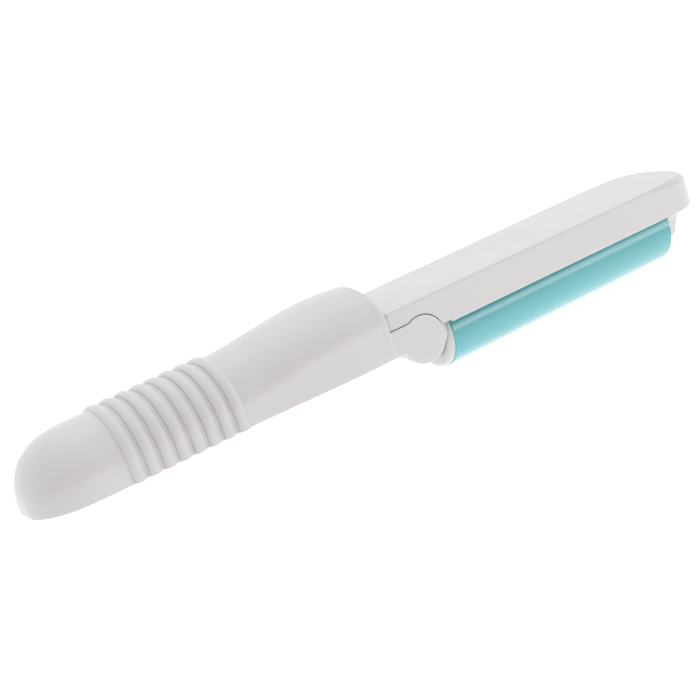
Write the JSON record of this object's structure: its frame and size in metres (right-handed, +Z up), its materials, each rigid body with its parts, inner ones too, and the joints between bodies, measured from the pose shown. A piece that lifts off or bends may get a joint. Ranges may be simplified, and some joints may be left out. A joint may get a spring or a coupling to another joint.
{
  "type": "lint roller",
  "caption": "Folding pocket lint roller: white ribbed handle, round pivot knuckles, white cover and a washable sticky teal gel roller.",
  "frame": {"origin": "centre of the open roller's footprint, at the height of the surface that the gel roller rests on", "axes": "+X along the body from the handle's tail to the cover's tip, +Y to the left, +Z up through the cover's flat top"},
  "size_m": [0.1904, 0.0292, 0.0291],
  "materials": {
    "white_plastic": "moulded ABS, softly glossy",
    "inner_plastic": "moulded, matt",
    "teal_gel": "glossy tacky translucent gel",
    "bearing_plastic": "natural acetal, satin",
    "polished_steel": "ground rod",
    "screw_steel": "zinc plated"
  },
  "bodies": {
    "handle": {"handle_shell": "white_plastic", "yoke": "white_plastic", "yoke_screws": "screw_steel", "hinge_pin": "polished_steel", "friction_washer_left": "bearing_plastic", "friction_washer_right": "bearing_plastic"},
    "head": {"cover": "white_plastic", "hinge_block": "inner_plastic", "hinge_block_screws": "screw_steel", "front_bracket": "white_plastic", "bracket_screw": "screw_steel", "roller_axle": "polished_steel", "thrust_washer_rear": "bearing_plastic", "thrust_washer_front": "bearing_plastic"},
    "roller": {"roller_core": "inner_plastic", "gel_sleeve": "teal_gel", "rear_end_cap": "white_plastic", "front_end_cap": "inner_plastic", "rear_bush": "bearing_plastic", "front_bush": "bearing_plastic"}
  },
  "joints": [
    {"name": "fold", "type": "hinge", "parent": "handle", "child": "head", "pos_m": [0.0023, 0, 0.0124], "axis": [0, 1, 0], "range_deg": [0, 180]},
    {"name": "roller_spin", "type": "hinge", "parent": "head", "child": "roller", "pos_m": [0.0473, 0, 0.0097], "axis": [1, 0, 0], "continuous": true}
  ]
}
